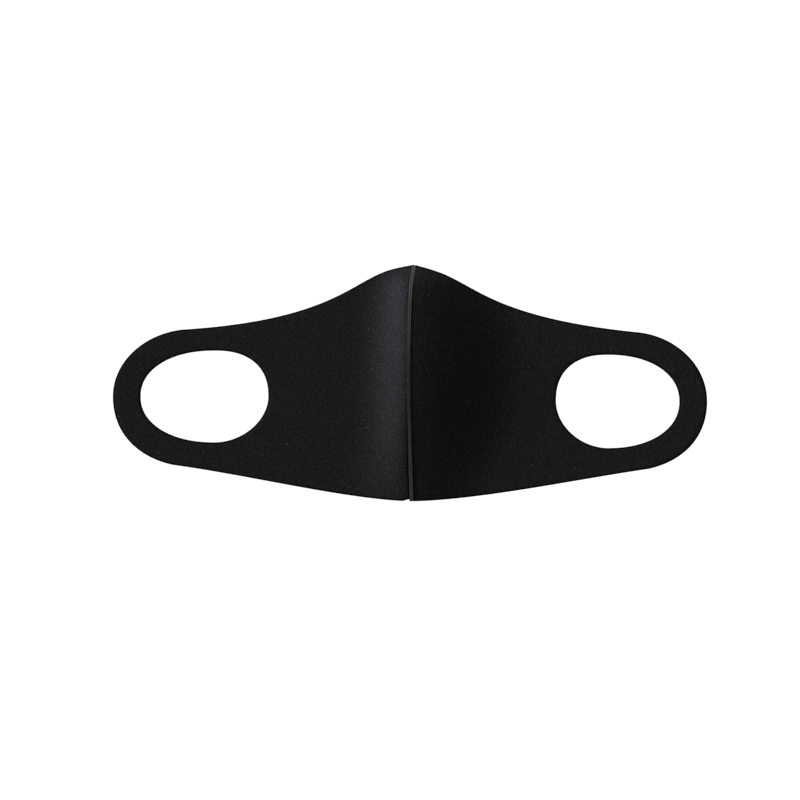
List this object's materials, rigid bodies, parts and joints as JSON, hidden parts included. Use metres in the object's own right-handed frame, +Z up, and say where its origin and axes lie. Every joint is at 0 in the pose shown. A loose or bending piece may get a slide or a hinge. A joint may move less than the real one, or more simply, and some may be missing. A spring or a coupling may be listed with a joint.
{
  "type": "cloth face mask",
  "caption": "Flat-cut cloth face mask lying face up, with a raised centre seam and an oval ear hole in each end.",
  "frame": {"origin": "on the surface that the mask lies on, under the middle of its length and height", "axes": "+X along the mask, towards the ear loop on the picture's right; +Y towards the nose edge; +Z up, out of the face side"},
  "size_m": [0.3, 0.119, 0.0132],
  "materials": {
    "knit_cloth": "smooth fine knit, near black, matt with a faint cool sheen",
    "cut_edge": "raw cut edge of the cloth, dark grey and matt"
  },
  "bodies": {
    "root": {"left_panel": "knit_cloth", "right_panel": "knit_cloth", "centre_seam": "cut_edge"}
  },
  "joints": []
}
